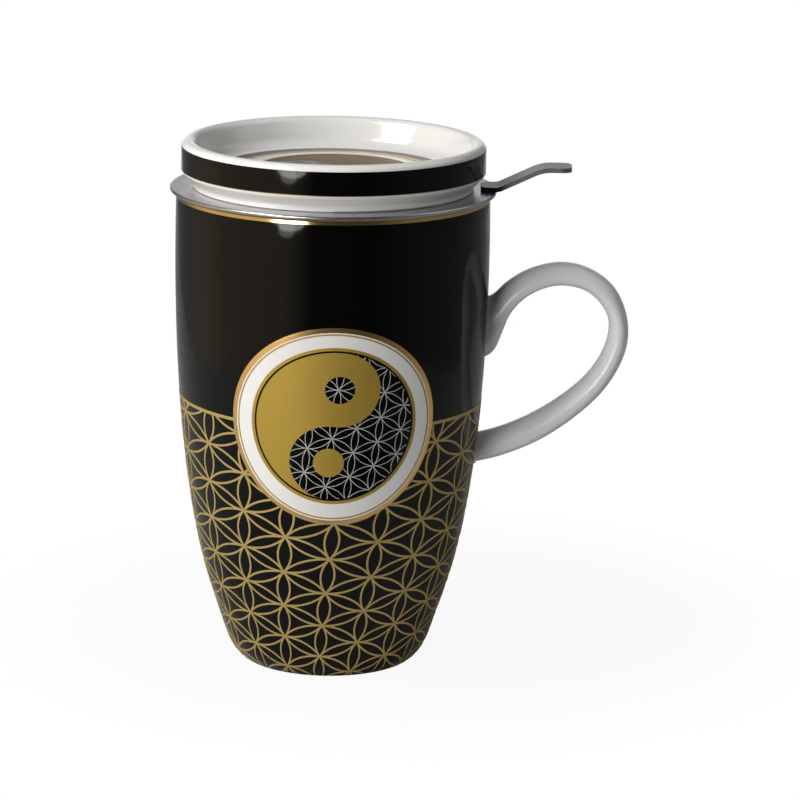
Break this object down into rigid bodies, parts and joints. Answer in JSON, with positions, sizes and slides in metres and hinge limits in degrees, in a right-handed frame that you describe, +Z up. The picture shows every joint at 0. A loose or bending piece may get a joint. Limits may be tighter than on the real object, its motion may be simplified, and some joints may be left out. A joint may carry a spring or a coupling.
{
  "type": "lidded tea mug with infuser",
  "caption": "Tall tapered porcelain tea mug with an ear handle, a lift-out steel infuser basket with a thumb lever, and a lift-off dish lid.",
  "frame": {"origin": "centre of the mug's foot ring, on the surface it stands on", "axes": "+Z up along the mug's axis, +X towards the ear handle and the infuser's lever"},
  "size_m": [0.1213, 0.0856, 0.1396],
  "materials": {
    "mug_glaze": "gloss",
    "handle_glaze": "gloss",
    "infuser_steel": "satin",
    "lid_glaze": "gloss"
  },
  "bodies": {
    "mug": {"mug_body": "mug_glaze", "mug_handle": "handle_glaze"},
    "infuser": {"infuser_flange": "infuser_steel", "infuser_wall": "infuser_steel", "infuser_base": "infuser_steel", "infuser_lever": "infuser_steel"},
    "lid": {"lid": "lid_glaze"}
  },
  "joints": [
    {"name": "infuser_lift", "type": "slide", "parent": "mug", "child": "infuser", "axis": [0, 0, 1], "range_m": [0, 0.1]},
    {"name": "lid_lift", "type": "slide", "parent": "infuser", "child": "lid", "axis": [0, 0, 1], "range_m": [0, 0.04]}
  ]
}
